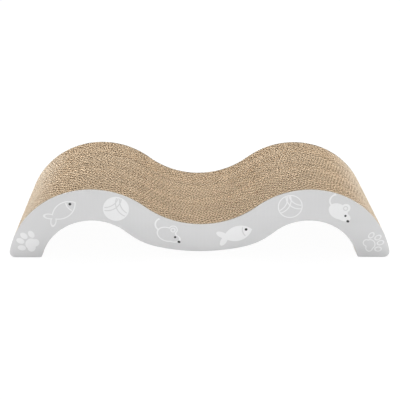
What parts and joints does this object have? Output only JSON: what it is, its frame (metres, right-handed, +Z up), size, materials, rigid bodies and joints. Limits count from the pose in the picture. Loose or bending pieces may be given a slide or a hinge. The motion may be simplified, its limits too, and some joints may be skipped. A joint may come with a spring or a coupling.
{
  "type": "cardboard cat scratcher",
  "caption": "Wave-shaped scratching lounge of upright corrugated boards glued face to face, with two humps, a seat between them and printed cover boards.",
  "frame": {"origin": "on the floor, below the middle of the stack", "axes": "+X along the wave, +Y through the stack from the front cover to the back cover, +Z up"},
  "size_m": [0.6092, 0.2382, 0.116],
  "materials": {
    "kraft_board": "matte",
    "printed_cover": "satin"
  },
  "bodies": {
    "root": {"front_cover": "printed_cover", "back_cover": "printed_cover", "board_01": "kraft_board", "board_02": "kraft_board", "board_03": "kraft_board", "board_04": "kraft_board", "board_05": "kraft_board", "board_06": "kraft_board", "board_07": "kraft_board", "board_08": "kraft_board", "board_09": "kraft_board", "board_10": "kraft_board", "board_11": "kraft_board", "board_12": "kraft_board", "board_13": "kraft_board", "board_14": "kraft_board", "board_15": "kraft_board", "board_16": "kraft_board", "board_17": "kraft_board", "board_18": "kraft_board", "board_19": "kraft_board", "board_20": "kraft_board", "board_21": "kraft_board", "board_22": "kraft_board", "board_23": "kraft_board", "board_24": "kraft_board", "board_25": "kraft_board", "board_26": "kraft_board", "board_27": "kraft_board", "board_28": "kraft_board", "board_29": "kraft_board", "board_30": "kraft_board", "board_31": "kraft_board", "board_32": "kraft_board", "board_33": "kraft_board", "board_34": "kraft_board", "board_35": "kraft_board", "board_36": "kraft_board", "board_37": "kraft_board", "board_38": "kraft_board", "board_39": "kraft_board", "board_40": "kraft_board", "board_41": "kraft_board", "board_42": "kraft_board", "board_43": "kraft_board", "board_44": "kraft_board", "board_45": "kraft_board", "board_46": "kraft_board", "board_47": "kraft_board", "board_48": "kraft_board", "board_49": "kraft_board", "board_50": "kraft_board", "board_51": "kraft_board", "board_52": "kraft_board", "board_53": "kraft_board", "board_54": "kraft_board"}
  },
  "joints": []
}
